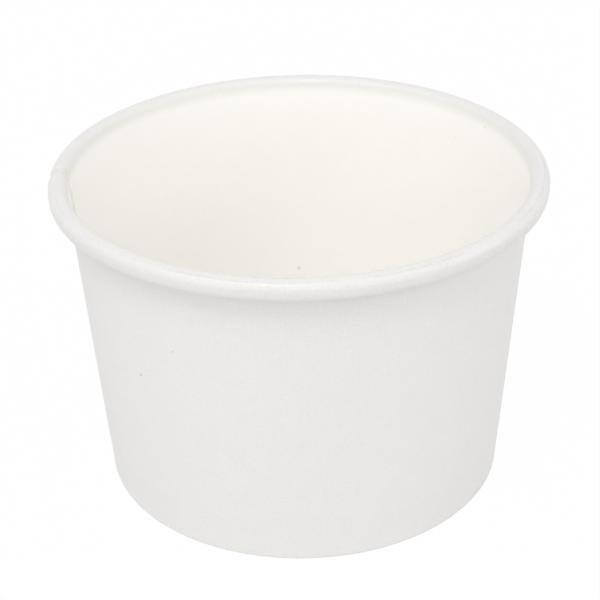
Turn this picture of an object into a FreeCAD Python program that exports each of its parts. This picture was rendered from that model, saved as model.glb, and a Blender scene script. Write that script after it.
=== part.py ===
import FreeCAD, Part
import math
import os

# A small paper sundae cup, in millimetres and degrees. The side wall is one fan-shaped blank,
# wrapped round, lapped at a side seam, rolled outwards at the rim and folded in round the skirt
# of the bottom disc. Origin: middle of the foot, on the table. +Z: up the axis.

# Overall sizes
rim_diameter = 90.0          # over the rolled rim
base_diameter = 75.0         # over the wall, where its outer face would reach the table
cup_height = 60.0            # from the table to the top of the roll

# Board
wall_board = 0.33            # thickness of the side blank
base_board = 0.30            # thickness of the bottom disc
seal_film = 0.02             # melted film between two sealed boards

# Rolled rim
roll_width = 3.45            # from the wall's inner face to the outside of the roll
roll_height = 4.05           # from the top of the roll to its underside
tuck_gap = 0.02              # room between the tucked turn and the seam's second layer

# Foot
fold_radius = 0.24           # bend of the board's middle line at the two corners of the fold
fold_rise = 0.55             # along the wall, where the skirt of the disc ends above the fold
hem_length = 6.6             # how far the folded edge stands up inside the foot
foot_pinch = 0.03            # how far the sealing tool draws the foot in
pinch_start = 2.4            # along the wall, where the drawn-in band begins
base_recess = 9.2            # from the table to the underside of the disc
disc_bend = 0.48             # bend of the disc's middle line into its skirt
ridge_swell = 0.02           # how far the disc's corner pushes the wall out
ridge_run = 2.2              # along the wall, from the swelling's crest back to the plain wall

# Knurl: the grooves that the sealing wheel presses into the inner face of the foot
knurl_count = 72
knurl_depth = 0.12
knurl_width = 1.2
knurl_margin = 0.5           # plain board left above and below each groove

# Side seam
seam_azimuth = 179.0         # of the inner raw edge, counted from +X towards +Y
lap_width = 6.5              # how far the outer layer runs on behind the inner one
step_width = 3.4             # stretch over which the board steps out to pass behind
step_sections = 5            # sections that the step is lofted through
lap_tail = 60.0              # how far the outer layer follows the roll's lower bend

UP_AXIS = FreeCAD.Vector(0, 0, 1)
ORIGIN = FreeCAD.Vector(0, 0, 0)
NO_LENGTH = 1e-6             # a run shorter than this is left out

# The wall leans so that its outer face runs from the foot into the roll as a tangent.
roll_bend = (roll_width - wall_board) / 2
roll_radius = rim_diameter / 2 - roll_width / 2
roll_level = cup_height - roll_width / 2
roll_drop = roll_height - roll_width
tuck_bend = roll_bend - 2 * wall_board - tuck_gap
reach_out = roll_radius - base_diameter / 2
reach = math.hypot(reach_out, roll_level)
inner_bend = roll_bend - wall_board / 2
lean = math.degrees(math.acos(inner_bend / reach) - math.atan2(roll_level, reach_out))
wall_length = math.sqrt(reach ** 2 - inner_bend ** 2)
LEAN_SIN = math.sin(math.radians(lean))
LEAN_COS = math.cos(math.radians(lean))

# Middle line to middle line, from the wall across the skirt to the hem.
skirt_inset = wall_board / 2 + seal_film + base_board / 2
hem_inset = 2 * skirt_inset

# Height of the disc's middle line, and the height along the wall where its skirt begins.
disc_level = base_recess + base_board / 2
corner_inset = wall_board / 2 + skirt_inset - ridge_swell
skirt_top = (disc_level - disc_bend * (1 + LEAN_SIN) - corner_inset * LEAN_SIN) / LEAN_COS


def at_wall(along, inward):
    """Point in the X-Z plane, so far up the wall's outer face and so far in from it."""
    x = base_diameter / 2 + along * LEAN_SIN - inward * LEAN_COS
    return FreeCAD.Vector(x, 0, along * LEAN_COS + inward * LEAN_SIN)


def run(length):
    """A straight stretch of board."""
    return (0.0, length)


def bend(radius, turn):
    """A bend of the board's middle line, to the left where turn is positive."""
    return (radius, turn)


def ease(length, shift):
    """Two equal and opposite bends that carry the board to the left by shift, over length."""
    if abs(shift) < NO_LENGTH:
        return [run(length / 2), run(length / 2)]
    turn = 2 * math.atan2(abs(shift), length)
    radius = length / (2 * math.sin(turn))
    first = math.copysign(math.degrees(turn), shift)
    return [bend(radius, first), bend(radius, -first)]


def pointing(heading):
    """Unit vector in the X-Z plane, heading degrees up from +X."""
    angle = math.radians(heading)
    return FreeCAD.Vector(math.cos(angle), 0, math.sin(angle))


def walk_face(point, heading, moves, side):
    """Edges of one face of a board, lying side to the left of its middle line."""
    edges = []
    for radius, amount in moves:
        left = pointing(heading + 90)
        if radius == 0.0:
            goal = point + pointing(heading) * amount
            if amount > NO_LENGTH:
                edges.append(Part.makeLine(point + left * side, goal + left * side))
            point = goal
            continue
        centre = point + left * math.copysign(radius, amount)
        spoke = point - centre
        arm = radius - side * math.copysign(1, amount)
        marks = []
        for share in (0.0, 0.5, 1.0):
            turned = FreeCAD.Rotation(FreeCAD.Vector(0, -1, 0), amount * share).multVec(spoke)
            marks.append(centre + turned * (arm / radius))
        edges.append(Part.Arc(*marks).toShape())
        point = centre + FreeCAD.Rotation(FreeCAD.Vector(0, -1, 0), amount).multVec(spoke)
        heading += amount
    return edges


def board_section(start, heading, moves, thickness):
    """Closed outline of a folded board, from its middle line."""
    left_face = walk_face(start, heading, moves, thickness / 2)
    right_face = walk_face(start, heading, moves, -thickness / 2)
    ends = []
    for index in (0, -1):
        left_point = left_face[index].Vertexes[index].Point
        right_point = right_face[index].Vertexes[index].Point
        ends.append(Part.makeLine(left_point, right_point))
    order = left_face + [ends[1]] + right_face[::-1] + [ends[0]]
    return Part.Wire(Part.__sortEdges__(order))


def foot_corner(turn):
    """How much of a straight run a corner of the fold takes up."""
    return fold_radius * math.tan(math.radians(turn) / 2)


def hem_and_fold():
    """Moves from the raw edge inside the foot, down, under the skirt and to the wall."""
    fold_level = wall_board / 2
    rise_on_hem = (fold_level - (wall_board / 2 + hem_inset) * LEAN_SIN) / LEAN_COS
    rise_on_wall = (fold_level - wall_board / 2 * LEAN_SIN) / LEAN_COS
    land = hem_inset / LEAN_COS - foot_corner(90 + lean) - foot_corner(90 - lean)
    moves = [run(hem_length - pinch_start)]
    moves += ease(pinch_start - fold_rise, foot_pinch)
    moves.append(run(fold_rise - rise_on_hem - foot_corner(90 + lean)))
    moves.append(bend(fold_radius, 90 + lean))
    moves.append(run(land))
    moves.append(bend(fold_radius, 90 - lean))
    moves.append(run(fold_rise - rise_on_wall - foot_corner(90 - lean)))
    return moves


def wall_and_roll(outset):
    """Moves up the wall and round the roll, for a layer that lies outset outside the wall."""
    moves = [run(hem_length - pinch_start)]
    moves += ease(skirt_top - hem_length, -(foot_pinch + ridge_swell))
    moves += ease(ridge_run, ridge_swell)
    moves.append(run(wall_length - skirt_top - ridge_run))
    moves.append(bend(roll_bend - outset, -(180 - lean)))
    moves.append(run(roll_drop))
    return moves


def wall_section(outset):
    """The whole side blank from hem to tucked edge, stepped out above the fold by outset."""
    start = at_wall(hem_length, wall_board / 2 + hem_inset + foot_pinch)
    moves = hem_and_fold()
    moves += ease(pinch_start - fold_rise, foot_pinch - outset)
    moves += wall_and_roll(outset)
    moves.append(bend(roll_bend - outset, -90))
    moves.append(bend(tuck_bend - outset, -180))
    return board_section(start, -90 - lean, moves, wall_board)


def lap_section(outset):
    """The second layer at the seam: cut off above the foot, and ending inside the roll."""
    start = at_wall(pinch_start, wall_board / 2 + foot_pinch - outset)
    moves = wall_and_roll(outset)
    moves.append(bend(roll_bend - outset, -lap_tail))
    return board_section(start, 90 - lean, moves, wall_board)


def spin(section, start_azimuth, sweep):
    """Solid made by turning a section about the axis, from start_azimuth."""
    solid = Part.Face(section).revolve(ORIGIN, UP_AXIS, sweep)
    solid.rotate(ORIGIN, UP_AXIS, start_azimuth)
    return solid


def smooth_step(share):
    """Rises from 0 to 1 with no slope at either end."""
    return share * share * (3 - 2 * share)


def seam_step(outset, step_angle):
    """The stretch where the board steps out, so that it can pass behind the inner edge."""
    sections = []
    for index in range(step_sections):
        share = index / (step_sections - 1)
        section = wall_section(outset * smooth_step(share))
        section.rotate(ORIGIN, UP_AXIS, seam_azimuth + step_angle * (1 - share))
        sections.append(section)
    return Part.makeLoft(sections, True, False)


def knurl_grooves():
    """Round-bottomed cutters that just enter the hem's inner face, one for each groove."""
    cutter_radius = (knurl_width ** 2 / 4 + knurl_depth ** 2) / (2 * knurl_depth)
    hem_face = wall_board + hem_inset + foot_pinch
    low = pinch_start + knurl_margin
    foot_of_cutter = at_wall(low, hem_face + cutter_radius - knurl_depth)
    length = hem_length - knurl_margin - low
    direction = FreeCAD.Vector(LEAN_SIN, 0, LEAN_COS)
    cutters = []
    for index in range(knurl_count):
        cutter = Part.makeCylinder(cutter_radius, length, foot_of_cutter, direction)
        cutter.rotate(ORIGIN, UP_AXIS, seam_azimuth + (index + 0.5) * 360 / knurl_count)
        cutters.append(cutter)
    return Part.makeCompound(cutters)


def make_side_wall():
    """The rolled, lapped and folded side wall, as one piece."""
    outset = wall_board - seal_film
    seam_radius = (base_diameter + rim_diameter) / 4
    step_angle = math.degrees(step_width / seam_radius)
    lap_angle = math.degrees(lap_width / seam_radius)
    single = spin(wall_section(0.0), seam_azimuth + step_angle, 360 - step_angle)
    lap = spin(lap_section(outset), seam_azimuth - lap_angle, lap_angle)
    wall = single.fuse([seam_step(outset, step_angle), lap])
    return wall.cut(knurl_grooves())


def make_bottom_disc():
    """The pressed disc: flat panel, tight corner and a skirt that runs down to the fold."""
    skirt_end = at_wall(fold_rise, wall_board / 2 + skirt_inset)
    moves = ease(pinch_start - fold_rise, foot_pinch)
    moves.append(run(hem_length - pinch_start))
    moves += ease(skirt_top - hem_length, -(foot_pinch + ridge_swell))
    moves.append(bend(disc_bend, 90 + lean))
    moves.append(run(at_wall(skirt_top, corner_inset).x - disc_bend * LEAN_COS))
    section = board_section(skirt_end, 90 - lean, moves, base_board)
    return spin(section, 0.0, 360)


def main():
    os.makedirs("parts", exist_ok=True)
    shapes = {"side_wall": make_side_wall(), "bottom_disc": make_bottom_disc()}
    for name, shape in shapes.items():
        shape.exportStep("parts/" + name + ".step")
        print(name, len(shape.Solids), "solid", round(shape.Volume, 2), "mm3", shape.isValid())


main()
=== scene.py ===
import math

import bpy
import numpy as np
from mathutils import Matrix, Vector


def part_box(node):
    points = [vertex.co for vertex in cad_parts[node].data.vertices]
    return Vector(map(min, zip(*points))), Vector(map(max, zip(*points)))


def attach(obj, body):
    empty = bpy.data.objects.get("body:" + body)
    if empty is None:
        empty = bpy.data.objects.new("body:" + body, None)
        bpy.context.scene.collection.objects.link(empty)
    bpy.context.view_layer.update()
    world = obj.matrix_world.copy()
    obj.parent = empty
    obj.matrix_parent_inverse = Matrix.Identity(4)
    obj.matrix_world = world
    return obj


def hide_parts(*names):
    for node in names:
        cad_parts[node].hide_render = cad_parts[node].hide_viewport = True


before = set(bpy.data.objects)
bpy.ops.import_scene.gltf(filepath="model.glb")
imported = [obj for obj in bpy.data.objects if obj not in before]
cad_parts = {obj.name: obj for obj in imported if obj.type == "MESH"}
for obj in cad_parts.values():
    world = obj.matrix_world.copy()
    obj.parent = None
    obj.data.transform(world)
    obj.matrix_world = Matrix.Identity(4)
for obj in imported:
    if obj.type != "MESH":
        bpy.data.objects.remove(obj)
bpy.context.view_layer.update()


# Side wall. One fan-shaped blank of white coated board, wrapped round and lapped at a side seam,
# its top edge rolled outwards into the rim, its bottom edge folded in and up round the disc's
# skirt. It is worked out as a middle surface with a thickness, in metres and radians.
wall_low, wall_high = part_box("side_wall")
box_margin = 0.000002         # keeps the finished surface inside the solids' box
rim_radius = min(-wall_low[0], wall_high[0], -wall_low[1], wall_high[1]) - box_margin
cup_height = wall_high[2]
base_radius = 0.0375
wall_board = 0.00033          # thickness of the side blank
skirt_board = 0.00030         # thickness of the bottom disc
seal_film = 0.00002           # melted film between two sealed boards
roll_width = 0.00345
roll_height = 0.00405
tuck_gap = 0.00002
fold_radius = 0.00024
fold_rise = 0.00055           # along the wall, where the disc's skirt ends above the fold
hem_length = 0.0066
foot_pinch = 0.00003          # how far the foot is drawn in
pinch_start = 0.0024
base_recess = 0.0092          # from the table to the underside of the disc
disc_bend = 0.00048
ridge_swell = 0.00002         # how far the disc's corner pushes the wall out
ridge_run = 0.0022
knurl_count = 72
knurl_depth = 0.00012
knurl_width = 0.0012
knurl_margin = 0.0005
knurl_end = 0.00005           # half the length over which a groove runs out
seam_azimuth = math.radians(179.0)
lap_width = 0.0065
step_width = 0.0034           # stretch over which the sheet steps out to pass behind its edge
lap_slack = 0.00001           # room between the two layers of the lap

roll_bend = (roll_width - wall_board) / 2
roll_radius = rim_radius - roll_width / 2
roll_level = cup_height - roll_width / 2
roll_drop = roll_height - roll_width
tuck_bend = roll_bend - 2 * wall_board - tuck_gap
reach = math.hypot(roll_radius - base_radius, roll_level)
inner_bend = roll_bend - wall_board / 2
lean = math.acos(inner_bend / reach) - math.atan2(roll_level, roll_radius - base_radius)
wall_length = math.sqrt(reach ** 2 - inner_bend ** 2)
lean_sin = math.sin(lean)
lean_cos = math.cos(lean)
skirt_inset = wall_board / 2 + seal_film + skirt_board / 2
hem_inset = 2 * skirt_inset
corner_inset = wall_board / 2 + skirt_inset - ridge_swell
disc_level = base_recess + skirt_board / 2
skirt_top = (disc_level - disc_bend * (1 + lean_sin) - corner_inset * lean_sin) / lean_cos
quarter = math.pi / 2


def at_wall(along, inward):
    """Point (r, z): so far up the wall's outer face and so far in from it, square to the face."""
    radius = base_radius + along * lean_sin - inward * lean_cos
    return np.array([radius, along * lean_cos + inward * lean_sin])


def ease(length, shift, steps):
    """Two equal and opposite bends that carry the board to the left by shift, over length."""
    turn = 2 * math.atan2(abs(shift), length)
    radius = length / (2 * math.sin(turn))
    first = math.copysign(turn, shift)
    return [(radius, first, steps), (radius, -first, steps)]


def walk(start, heading, moves):
    """Middle line of a folded board: points (r, z), unit normals to its left, and length walked.

    Each move is (radius, amount, steps). Radius 0 is a straight run of that length. Otherwise the
    line turns by amount on a circle of that radius, whose centre lies to the left for a left turn."""
    points, normals, lengths = [], [], []
    point, walked = np.array(start), 0.0
    for radius, amount, steps in moves:
        share = np.arange(1, steps + 1) / steps if points else np.arange(steps + 1) / steps
        if radius == 0:
            ahead = np.array([math.cos(heading), math.sin(heading)])
            headings = np.full(len(share), heading)
            points.append(point + np.outer(share * amount, ahead))
            length = amount
        else:
            side = math.copysign(radius, amount)
            centre = point + side * np.array([-math.sin(heading), math.cos(heading)])
            headings = heading + share * amount
            points.append(centre + side * np.stack([np.sin(headings), -np.cos(headings)], 1))
            heading += amount
            length = abs(radius * amount)
        normals.append(np.stack([-np.sin(headings), np.cos(headings)], 1))
        lengths.append(walked + share * length)
        point, walked = points[-1][-1], walked + length
    return np.concatenate(points), np.concatenate(normals), np.concatenate(lengths)


def corner_run(turn):
    """How much of a straight run a corner of the fold takes up."""
    return fold_radius * math.tan(turn / 2)


def smooth_step(share):
    """Rises from 0 to 1 with no slope at either end."""
    share = np.clip(share, 0, 1)
    return share * share * (3 - 2 * share)


def step_count(moves):
    """Number of steps in a list of moves."""
    return sum(steps for radius, amount, steps in moves)


rise_on_hem = (wall_board / 2 - (wall_board / 2 + hem_inset) * lean_sin) / lean_cos
rise_on_wall = (wall_board / 2 - wall_board / 2 * lean_sin) / lean_cos
land = hem_inset / lean_cos - corner_run(quarter + lean) - corner_run(quarter - lean)
knurl_run = hem_length - pinch_start - 2 * knurl_margin
wall_moves = [(0, knurl_margin - knurl_end, 1), (0, 2 * knurl_end, 1), (0, knurl_run - 2 * knurl_end, 1)]
wall_moves += [(0, 2 * knurl_end, 1), (0, knurl_margin - knurl_end, 1)]
wall_moves += ease(pinch_start - fold_rise, foot_pinch, 2)
wall_moves += [(0, fold_rise - rise_on_hem - corner_run(quarter + lean), 1)]
wall_moves += [(fold_radius, quarter + lean, 4), (0, land, 1), (fold_radius, quarter - lean, 4)]
wall_moves += [(0, fold_rise - rise_on_wall - corner_run(quarter - lean), 1)]
wall_moves += ease(pinch_start - fold_rise, foot_pinch, 2)
foot_row = step_count(wall_moves)
wall_moves += [(0, hem_length - pinch_start, 3)]
wall_moves += ease(skirt_top - hem_length, -(foot_pinch + ridge_swell), 4)
wall_moves += ease(ridge_run, ridge_swell, 4)
wall_moves += [(0, wall_length - skirt_top - ridge_run, 8)]
roll_row = step_count(wall_moves)
wall_moves += [(roll_bend, -(math.pi - lean), 24), (0, roll_drop, 2), (roll_bend, -quarter * 2 / 3, 6)]
lap_row = step_count(wall_moves)
wall_moves += [(roll_bend, -quarter / 3, 3), (tuck_bend, -math.pi, 10)]
wall_start = at_wall(hem_length, wall_board / 2 + hem_inset + foot_pinch)
path, path_left, path_length = walk(wall_start, -quarter - lean, wall_moves)

# The sheet runs once round from its inner raw edge, steps out by its own thickness, and laps on.
# Its columns stand closer where the knurl's grooves are, and closest at the step.
seam_radius = (base_radius + rim_radius) / 2
step_angle = step_width / seam_radius
lap_angle = lap_width / seam_radius
pitch = 2 * math.pi / knurl_count
groove_half_angle = knurl_width / 2 / wall_start[0]
one_pitch = np.append(0, pitch / 2 + groove_half_angle * np.array([-1, -0.5, 0, 0.5, 1]))
step_columns = 15
lap_columns = 8
around = np.concatenate([
    (np.arange(knurl_count - 1)[:, None] * pitch + one_pitch).ravel(),
    np.linspace(2 * math.pi - pitch, 2 * math.pi, step_columns, endpoint=False),
    np.linspace(2 * math.pi, 2 * math.pi + lap_angle, lap_columns)])
lap_column = len(around) - lap_columns
rise_rows = 4
above_foot = smooth_step((np.arange(len(path)) - foot_row + rise_rows) / rise_rows)
outset = (wall_board + lap_slack) * smooth_step((around - 2 * math.pi + step_angle) / step_angle)

# Grooves of the knurl, pressed into the hem's inner face: arcs of a circle, one in each pitch.
groove_radius = (knurl_width ** 2 / 4 + knurl_depth ** 2) / (2 * knurl_depth)
groove_offset = np.abs(around % pitch - pitch / 2) * wall_start[0]
groove_profile = np.sqrt(np.maximum(groove_radius ** 2 - groove_offset ** 2, 0)) - groove_radius + knurl_depth
in_knurl = (path_length > knurl_margin) & (path_length < knurl_margin + knurl_run)
groove = in_knurl[:, None] * np.clip(groove_profile, 0, knurl_depth)[None, :]


def swung(flat, azimuth):
    """Grid of points (r, z) swung about +Z, each column to its own azimuth."""
    radius, height = flat[..., 0], flat[..., 1]
    return np.stack([radius * np.cos(azimuth), radius * np.sin(azimuth), height], -1)


def grid_faces(rows, columns):
    """Corner numbers of the squares of a grid of points, row by row, each (row, column) pair once."""
    row, column = np.meshgrid(np.arange(rows - 1), np.arange(columns - 1), indexing="ij")
    corner = row * columns + column
    return np.stack([corner, corner + columns, corner + columns + 1, corner + 1], -1)


def closed_sheet(name, outer, food, faces, uv):
    """Sheet with thickness: the faces on its outer points, the same turned over on its food-side
    points, and flat strips along its raw edges.

    An edge (a, b) is raw where no other face runs along it from b to a. Its strip has the corners
    (b, a, a + n, b + n), n being the number of points of one side."""
    count = outer.shape[0] * outer.shape[1]
    edges = np.stack([faces, np.roll(faces, -1, 1)], -1).reshape(-1, 2)
    raw = edges[~np.isin(edges[:, 0] * count + edges[:, 1], edges[:, 1] * count + edges[:, 0])]
    strips = np.stack([raw[:, 1], raw[:, 0], raw[:, 0] + count, raw[:, 1] + count], -1)
    corners = np.concatenate([faces, faces[:, ::-1] + count, strips])
    side = np.repeat([0, 1, 2], [len(faces), len(faces), len(strips)])
    used, corners = np.unique(corners, return_inverse=True)
    points = np.concatenate([outer.reshape(-1, 3), food.reshape(-1, 3)])[used]
    mesh = bpy.data.meshes.new(name)
    mesh.from_pydata(points.tolist(), [], corners.reshape(-1, 4).tolist())
    sheet_uv = np.concatenate([uv.reshape(-1, 2)] * 2)[used]
    layer = mesh.uv_layers.new(name="sheet")
    layer.data.foreach_set("uv", sheet_uv[corners.ravel()].astype(np.float32).ravel())
    mesh.polygons.foreach_set("material_index", side.astype(np.int32))
    mesh.polygons.foreach_set("use_smooth", side < 2)
    piece = bpy.data.objects.new(name, mesh)
    bpy.context.scene.collection.objects.link(piece)
    return piece


middle = path[:, None, :] - path_left[:, None, :] * (above_foot[:, None] * outset[None, :])[:, :, None]
food_points = middle + path_left[:, None, :] * wall_board / 2
outer_points = middle - path_left[:, None, :] * (wall_board / 2 - groove)[:, :, None]
azimuth = seam_azimuth - around[None, :]
wall_faces = grid_faces(len(path), len(around))

# The second layer of the lap is cut off above the foot, and ends inside the roll.
kept = np.ones(wall_faces.shape[:2], dtype=bool)
kept[:foot_row, lap_column:] = False
kept[lap_row:, lap_column:] = False
wall_uv = np.stack(np.broadcast_arrays(around[None, :] * rim_radius, path_length[:, None]), -1)
side_wall = closed_sheet(
    "side_wall_sheet", swung(outer_points, azimuth), swung(food_points, azimuth), wall_faces[kept], wall_uv)

# Finish of the board: noises in cycles per metre, and heights of its relief in metres.
roll_start = path_length[roll_row]
roll_fade = 0.0012            # stretch over which the roll's wrinkles come in
# The roll's darker tone is painted shade on the food side, and a tan tone on the raw edge.
tone_fade = 0.0018            # half the stretch over which the roll's tone comes in
cloud_scale = 260.0
mottle_scale = 1900.0
grain_scale = 4600.0
cloud_share = 0.15            # of the shading, the rest of which is grain
rough_spread = 0.15
grain_relief = 0.5
wrinkle_stretch = (1900.0, 300.0, 1.0)
wrinkle_height = 0.00012
mottle_height = 0.00004
grain_height = 0.00012
crease_turn = math.radians(113.0)
crease_along = roll_start + roll_bend * crease_turn
crease_stretch = (60.0, 0.0, 0.0)
crease_wander = 0.0006
crease_half_width = 0.00022
crease_height = -0.00010
crease_gone = 0.35            # the crease breaks up between these two values of its noise
crease_full = 0.60


def blend(nodes, links, share, first, second):
    """Colour: the first one where share is 0, the second one where it is 1."""
    node = nodes.new("ShaderNodeMix")
    node.data_type = "RGBA"
    factor, start, end = (node.inputs[index] for index in (0, 6, 7))
    links.new(share, factor)
    links.new(first, start)
    if isinstance(second, tuple):
        end.default_value = second
    else:
        links.new(second, end)
    return node.outputs[2]


def board_finish():
    """Node group: the fine grain of coated board, the wrinkles of its roll, and a darker tone over the roll,
    which on the food side is painted shade, as colour, roughness and normal. The UV layer "sheet" has metres
    round the rim and metres across the blank."""
    group = bpy.data.node_groups.new("board_finish", "ShaderNodeTree")
    socket = group.interface.new_socket
    socket("Colour", in_out="INPUT", socket_type="NodeSocketColor")
    socket("Roll Tone And Painted Shade", in_out="INPUT", socket_type="NodeSocketColor")
    socket("Grain", in_out="INPUT", socket_type="NodeSocketFloat")
    socket("Roughness", in_out="INPUT", socket_type="NodeSocketFloat")
    socket("Relief", in_out="INPUT", socket_type="NodeSocketFloat")
    socket("Rolled", in_out="INPUT", socket_type="NodeSocketFloat")
    socket("Colour", in_out="OUTPUT", socket_type="NodeSocketColor")
    socket("Roughness", in_out="OUTPUT", socket_type="NodeSocketFloat")
    socket("Normal", in_out="OUTPUT", socket_type="NodeSocketVector")
    nodes, links = group.nodes, group.links
    given = nodes.new("NodeGroupInput")
    result = nodes.new("NodeGroupOutput")
    place = nodes.new("ShaderNodeTexCoord")
    sheet = nodes.new("ShaderNodeUVMap")
    sheet.uv_map = "sheet"

    def put(value, inlet):
        if isinstance(value, float):
            inlet.default_value = value
        else:
            links.new(value, inlet)

    def noise(vector, scale, detail):
        texture = nodes.new("ShaderNodeTexNoise")
        texture.inputs["Scale"].default_value = scale
        texture.inputs["Detail"].default_value = detail
        links.new(vector, texture.inputs["Vector"])
        return texture.outputs["Fac"]

    def maths(operation, *values):
        node = nodes.new("ShaderNodeMath")
        node.operation = operation
        for index, value in enumerate(values):
            put(value, node.inputs[index])
        return node.outputs[0]

    def fade(value, start, end):
        node = nodes.new("ShaderNodeMapRange")
        node.interpolation_type = "SMOOTHSTEP"
        put(value, node.inputs["Value"])
        node.inputs["From Min"].default_value = start
        node.inputs["From Max"].default_value = end
        return node.outputs["Result"]

    def stretched(vector, factors):
        node = nodes.new("ShaderNodeVectorMath")
        node.operation = "MULTIPLY"
        links.new(vector, node.inputs[0])
        node.inputs[1].default_value = factors
        return node.outputs[0]

    clouds = noise(place.outputs["Object"], cloud_scale, 3.0)
    grain = noise(place.outputs["Object"], grain_scale, 1.0)
    mottle = noise(place.outputs["Object"], mottle_scale, 2.0)
    shade = maths("MULTIPLY_ADD", clouds, cloud_share, maths("MULTIPLY", grain, 1.0 - cloud_share))
    level = maths("MULTIPLY_ADD", maths("SUBTRACT", shade, 0.5), given.outputs["Grain"], 1.0)
    rough = maths("MULTIPLY_ADD", maths("SUBTRACT", mottle, 0.5), rough_spread, given.outputs["Roughness"])
    links.new(rough, result.inputs["Roughness"])

    split = nodes.new("ShaderNodeSeparateXYZ")
    links.new(sheet.outputs["UV"], split.inputs[0])
    across = split.outputs["Y"]
    # Over the roll the colour turns to the roll tone: on the food side this is painted shade, darker where
    # the roll gets less light than the cup's inside.
    roll_tone_and_shade_mask = fade(across, roll_start - tone_fade, roll_start + tone_fade)
    roll_tone_and_shade_share = maths("MULTIPLY", roll_tone_and_shade_mask, given.outputs["Rolled"])
    tint = nodes.new("ShaderNodeVectorMath")
    tint.operation = "SCALE"
    tone = blend(nodes, links, roll_tone_and_shade_share, given.outputs["Colour"], given.outputs["Roll Tone And Painted Shade"])
    links.new(tone, tint.inputs[0])
    links.new(level, tint.inputs["Scale"])
    links.new(tint.outputs[0], result.inputs["Colour"])

    wrinkles = noise(stretched(sheet.outputs["UV"], wrinkle_stretch), 1.0, 2.0)
    wander = noise(stretched(sheet.outputs["UV"], crease_stretch), 1.0, 1.0)
    crease_line = maths("MULTIPLY_ADD", wander, crease_wander, crease_along - crease_wander / 2)
    crease = fade(maths("ABSOLUTE", maths("SUBTRACT", across, crease_line)), crease_half_width, 0.0)
    crease_relief = maths("MULTIPLY", fade(wander, crease_gone, crease_full), crease_height)
    in_roll = maths("MULTIPLY", fade(across, roll_start, roll_start + roll_fade), given.outputs["Rolled"])
    relief = maths("MULTIPLY_ADD", crease, crease_relief, maths("MULTIPLY", wrinkles, wrinkle_height))
    relief = maths("MULTIPLY_ADD", mottle, mottle_height, relief)
    relief = maths("MULTIPLY_ADD", grain, grain_height, relief)
    fine = maths("MULTIPLY", maths("MULTIPLY_ADD", grain, grain_relief, mottle), given.outputs["Relief"])
    bump = nodes.new("ShaderNodeBump")
    bump.inputs["Distance"].default_value = 1.0
    links.new(maths("MULTIPLY_ADD", in_roll, relief, fine), bump.inputs["Height"])
    links.new(bump.outputs["Normal"], result.inputs["Normal"])
    return group


board_finish_group = board_finish()
speck_outer = 1.2             # a speck fades in between these two shares of its half axes
speck_inner = 0.5


def speck_mask():
    """Node group: 1 within a small ellipsoid at Place, turned by Turn, with half axes Size, else 0."""
    group = bpy.data.node_groups.new("speck_mask", "ShaderNodeTree")
    socket = group.interface.new_socket
    socket("Place", in_out="INPUT", socket_type="NodeSocketVector")
    socket("Turn", in_out="INPUT", socket_type="NodeSocketVector")
    socket("Size", in_out="INPUT", socket_type="NodeSocketVector")
    socket("Mask", in_out="OUTPUT", socket_type="NodeSocketFloat")
    nodes, links = group.nodes, group.links
    given = nodes.new("NodeGroupInput")
    result = nodes.new("NodeGroupOutput")
    place = nodes.new("ShaderNodeTexCoord")
    local = nodes.new("ShaderNodeMapping")
    local.vector_type = "TEXTURE"
    links.new(place.outputs["Object"], local.inputs["Vector"])
    links.new(given.outputs["Place"], local.inputs["Location"])
    links.new(given.outputs["Turn"], local.inputs["Rotation"])
    links.new(given.outputs["Size"], local.inputs["Scale"])
    length = nodes.new("ShaderNodeVectorMath")
    length.operation = "LENGTH"
    links.new(local.outputs["Vector"], length.inputs[0])
    mask = nodes.new("ShaderNodeMapRange")
    mask.interpolation_type = "SMOOTHSTEP"
    mask.inputs["From Min"].default_value = speck_outer
    mask.inputs["From Max"].default_value = speck_inner
    links.new(length.outputs["Value"], mask.inputs["Value"])
    links.new(mask.outputs["Result"], result.inputs["Mask"])
    return group


speck_mask_group = speck_mask()
film_roughness = 0.22
speck_colour = (0.10, 0.08, 0.06, 1.0)


def board_material(name, colour, roll_tone_and_painted_shade, grain, roughness, relief, rolled, coat, specks):
    """Coated paper board: diffuse white with a thin soft-gloss film, a darker tone over its roll (painted
    shade on the food side), and specks of dust on it.

    A speck is (place, turn, half axes, strength)."""
    material = bpy.data.materials.new(name)
    material.use_nodes = True
    nodes, links = material.node_tree.nodes, material.node_tree.links
    shader = nodes["Principled BSDF"]
    finish = nodes.new("ShaderNodeGroup")
    finish.node_tree = board_finish_group
    finish.inputs["Colour"].default_value = (*colour, 1.0)
    finish.inputs["Roll Tone And Painted Shade"].default_value = (*roll_tone_and_painted_shade, 1.0)
    finish.inputs["Grain"].default_value = grain
    finish.inputs["Roughness"].default_value = roughness
    finish.inputs["Relief"].default_value = relief
    finish.inputs["Rolled"].default_value = rolled
    base = finish.outputs["Colour"]
    for place, turn, size, strength in specks:
        speck = nodes.new("ShaderNodeGroup")
        speck.node_tree = speck_mask_group
        speck.inputs["Place"].default_value = place
        speck.inputs["Turn"].default_value = turn
        speck.inputs["Size"].default_value = size
        share = nodes.new("ShaderNodeMath")
        share.operation = "MULTIPLY"
        share.inputs[1].default_value = strength
        links.new(speck.outputs["Mask"], share.inputs[0])
        base = blend(nodes, links, share.outputs[0], base, speck_colour)
    links.new(base, shader.inputs["Base Color"])
    links.new(finish.outputs["Roughness"], shader.inputs["Roughness"])
    links.new(finish.outputs["Normal"], shader.inputs["Normal"])
    shader.inputs["Coat Weight"].default_value = coat
    shader.inputs["Coat Roughness"].default_value = film_roughness
    return material


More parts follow.
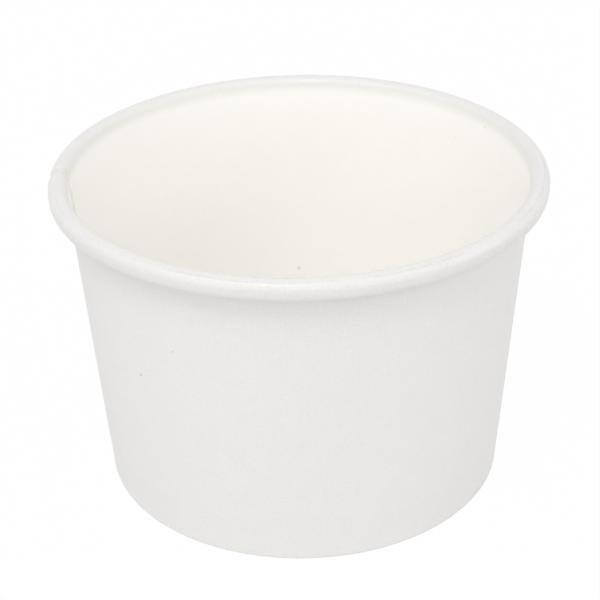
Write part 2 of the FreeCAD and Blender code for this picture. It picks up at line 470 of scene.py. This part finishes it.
outer_specks = [
    ((-0.02797, -0.02869, 0.03383), (0.0, 0.5, 0.0), (0.00018, 0.00018, 0.00042), 0.50),
    ((-0.02164, -0.03444, 0.04179), (0.0, 0.0, 0.0), (0.00020, 0.00020, 0.00020), 0.30)]
food_specks = [
    ((-0.00037, 0.03849, 0.01808), (0.0, 0.6, 0.0), (0.00028, 0.00028, 0.00048), 0.25),
    ((-0.03700, 0.01450, 0.05300), (0.0, 0.0, 0.0), (0.00020, 0.00020, 0.00020), 0.35),
    ((0.03600, 0.02062, 0.05750), (0.0, 0.0, 0.0), (0.00018, 0.00018, 0.00018), 0.25),
    ((0.03097, 0.02702, 0.05253), (0.0, 0.0, 0.0), (0.00016, 0.00016, 0.00016), 0.25)]
outer_colour = (0.800, 0.792, 0.775)
outer_side = board_material(
    "board_outer_side", outer_colour, outer_colour, grain=0.22, roughness=0.55, relief=0.000004,
    rolled=0.0, coat=0.0, specks=outer_specks)
food_colour = (0.957, 0.942, 0.911)
# Colour over the roll: painted shade, a darker grey copy of the food side where the roll gets less light than
# the cup's inside.
roll_painted_shade_colour = (0.768, 0.757, 0.742)
food_side = board_material(
    "board_food_side", food_colour, roll_painted_shade_colour, grain=0.11, roughness=0.45, relief=0.000006,
    rolled=1.0, coat=0.4, specks=food_specks)
# Raw cut edge: its own cream colour, made paler as painted light that offsets the shade in the seam's step.
edge_colour = (0.97, 0.96, 0.92)
rolled_edge_colour = (0.87, 0.84, 0.78)
raw_edge = board_material(
    "board_raw_edge", edge_colour, rolled_edge_colour, grain=0.06, roughness=0.8, relief=0.000008,
    rolled=1.0, coat=0.0, specks=[])
for material in (outer_side, food_side, raw_edge):
    side_wall.data.materials.append(material)
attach(side_wall, "root")
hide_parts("side_wall")


# Bottom disc. A round blank of thinner board, pressed to a flat panel with a tight corner and a
# skirt, and sealed between the wall and the folded hem, coated side up.
disc_moves = ease(pinch_start - fold_rise, foot_pinch, 3)
disc_moves += [(0, hem_length - pinch_start, 3)]
disc_moves += ease(skirt_top - hem_length, -(foot_pinch + ridge_swell), 4)
disc_moves += [(disc_bend, quarter + lean, 8)]
disc_moves += [(0, at_wall(skirt_top, corner_inset)[0] - disc_bend * lean_cos, 24)]
skirt_end = at_wall(fold_rise, wall_board / 2 + skirt_inset)
disc_path, disc_left = walk(skirt_end, quarter - lean, disc_moves)[:2]
disc_columns = 240
disc_around = np.linspace(0, 2 * math.pi, disc_columns, endpoint=False)


def closed_disc(name, outline, angles):
    """Solid of revolution: the outline (r, z) from the axis to the axis, turned about +Z, with
    each end drawn together in one point on the axis."""
    radius, height = outline[1:-1, 0], outline[1:-1, 1]
    ring = np.stack([np.outer(radius, np.cos(angles)), np.outer(radius, np.sin(angles)),
                     np.repeat(height[:, None], len(angles), 1)], -1).reshape(-1, 3)
    poles = np.array([[0, 0, outline[0, 1]], [0, 0, outline[-1, 1]]])
    rows, columns = len(radius), len(angles)
    row, column = np.meshgrid(np.arange(rows - 1), np.arange(columns), indexing="ij")
    turned = (column + 1) % columns
    squares = np.stack([row * columns + column, row * columns + turned,
                        (row + 1) * columns + turned, (row + 1) * columns + column], -1).reshape(-1, 4)
    each = np.arange(columns)
    first = np.stack([np.full(columns, rows * columns), (each + 1) % columns, each], -1)
    last = np.stack([np.full(columns, rows * columns + 1), each, (each + 1) % columns], -1)
    last[:, 1:] += (rows - 1) * columns
    mesh = bpy.data.meshes.new(name)
    faces = squares.tolist() + first.tolist() + last.tolist()
    mesh.from_pydata(np.concatenate([ring, poles]).tolist(), [], faces)
    mesh.polygons.foreach_set("use_smooth", np.ones(len(mesh.polygons), dtype=bool))
    piece = bpy.data.objects.new(name, mesh)
    bpy.context.scene.collection.objects.link(piece)
    return piece


under_side = disc_path + disc_left * skirt_board / 2
food_face = disc_path - disc_left * skirt_board / 2
under_side[-1, 0] = 0
food_face[-1, 0] = 0
disc_outline = np.concatenate([under_side[::-1], food_face])
bottom_disc = closed_disc("bottom_disc_sheet", disc_outline, disc_around)
disc_side = board_material(
    "disc_side", food_colour, food_colour, grain=0.11, roughness=0.45, relief=0.000006,
    rolled=0.0, coat=0.4, specks=[])
bottom_disc.data.materials.append(disc_side)
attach(bottom_disc, "root")
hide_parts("bottom_disc")


# Camera, at the photograph's viewing angle. It looks down at the cup from the front, about 30 degrees
# above level and turned a little about its own line of sight.
camera_distance = 6.7495 * rim_radius
camera_elevation = math.radians(29.652)
camera_roll = math.radians(-1.258)
camera_focus = 1603.7
photo_width = 600
aim = Vector((-0.00027, 0, cup_height / 2 + 0.00187))
camera_data = bpy.data.cameras.new("photo_camera")
camera_data.sensor_width = 36
camera_data.lens = camera_focus / photo_width * camera_data.sensor_width
camera = bpy.data.objects.new("photo_camera", camera_data)
away = Vector((0, -math.cos(camera_elevation), math.sin(camera_elevation)))
camera_place = Vector((0, 0, cup_height / 2)) + away * camera_distance
look = (aim - camera_place).normalized()
right = look.cross(Vector((0, 0, 1))).normalized()
upward = right.cross(look)
turned_right = right * math.cos(camera_roll) + upward * math.sin(camera_roll)
turned_up = upward * math.cos(camera_roll) - right * math.sin(camera_roll)
turning = Matrix((turned_right, turned_up, -look)).transposed()
camera.matrix_world = Matrix.Translation(camera_place) @ turning.to_4x4()
bpy.context.scene.collection.objects.link(camera)
bpy.context.scene.camera = camera


# Floor: a plain white sweep that the cup stands on. It stays white to the camera, and keeps the
# cup's soft shadow.
floor_half = 1.5
floor_drop = 0.00002
floor_grey = 0.75
floor_white_share = 0.98
floor_mesh = bpy.data.meshes.new("floor")
floor_mesh.from_pydata([(-floor_half, -floor_half, 0), (floor_half, -floor_half, 0),
                        (floor_half, floor_half, 0), (-floor_half, floor_half, 0)], [], [(0, 1, 2, 3)])
floor = bpy.data.objects.new("floor", floor_mesh)
floor.location.z = -floor_drop
bpy.context.scene.collection.objects.link(floor)


def seen_directly(nodes, links):
    """Whether a ray comes from the camera, a glossy surface or a clear one, as 0 or 1."""
    light_path = nodes.new("ShaderNodeLightPath")
    total = light_path.outputs["Is Camera Ray"]
    for kind in ("Is Glossy Ray", "Is Transmission Ray"):
        larger = nodes.new("ShaderNodeMath")
        larger.operation = "MAXIMUM"
        links.new(total, larger.inputs[0])
        links.new(light_path.outputs[kind], larger.inputs[1])
        total = larger.outputs[0]
    return total


def floor_material(white_share):
    """White floor: for direct rays most of its light is its own, so that it stays even."""
    material = bpy.data.materials.new("floor")
    material.use_nodes = True
    nodes, links = material.node_tree.nodes, material.node_tree.links
    nodes.clear()
    matt = nodes.new("ShaderNodeBsdfDiffuse")
    matt.inputs["Color"].default_value = (floor_grey, floor_grey, floor_grey, 1)
    white = nodes.new("ShaderNodeEmission")
    white.inputs["Color"].default_value = (1, 1, 1, 1)
    share = nodes.new("ShaderNodeMath")
    share.operation = "MULTIPLY"
    share.inputs[1].default_value = white_share
    links.new(seen_directly(nodes, links), share.inputs[0])
    mix = nodes.new("ShaderNodeMixShader")
    links.new(share.outputs[0], mix.inputs["Fac"])
    links.new(matt.outputs[0], mix.inputs[1])
    links.new(white.outputs[0], mix.inputs[2])
    out = nodes.new("ShaderNodeOutputMaterial")
    links.new(mix.outputs[0], out.inputs["Surface"])
    return material


floor_mesh.materials.append(floor_material(floor_white_share))


# Light: a pale even surround that gives most of it, and six soft lamps, the strongest high up in
# front, the others to its left, lower in front and at the right side.
surround = 0.78
world = bpy.data.worlds.new("surround")
bpy.context.scene.world = world
world.use_nodes = True
world_nodes, world_links = world.node_tree.nodes, world.node_tree.links
backdrop = world_nodes["Background"]
backdrop.inputs["Color"].default_value = (1, 1, 1, 1)
strength = world_nodes.new("ShaderNodeMapRange")
strength.inputs["To Min"].default_value = surround
strength.inputs["To Max"].default_value = 1.0
world_links.new(seen_directly(world_nodes, world_links), strength.inputs["Value"])
world_links.new(strength.outputs["Result"], backdrop.inputs["Strength"])


def soft_lamp(name, place, size, watts):
    """Square area lamp at a place, pointing at the middle of the cup."""
    data = bpy.data.lights.new(name, "AREA")
    data.shape = "SQUARE"
    data.size = size
    data.energy = watts
    lamp = bpy.data.objects.new(name, data)
    lamp.location = place
    lamp.rotation_euler = (lamp_target - Vector(place)).to_track_quat("-Z", "Y").to_euler()
    bpy.context.scene.collection.objects.link(lamp)


lamp_target = Vector((0, 0, cup_height / 2))
soft_lamp("high_left_lamp", (-0.45, -0.30, 0.85), 0.4, 1.00)
soft_lamp("high_front_lamp", (-0.10, -0.50, 0.86), 0.3, 1.70)
soft_lamp("front_lamp", (0.05, -0.90, 0.50), 0.4, 0.50)
soft_lamp("low_left_lamp", (-0.65, -0.72, 0.32), 0.6, 0.75)
soft_lamp("low_right_lamp", (0.70, -0.75, 0.15), 0.5, 0.35)
soft_lamp("side_lamp", (0.95, -0.10, 0.45), 0.5, 1.10)

bpy.context.scene.view_settings.view_transform = "Standard"
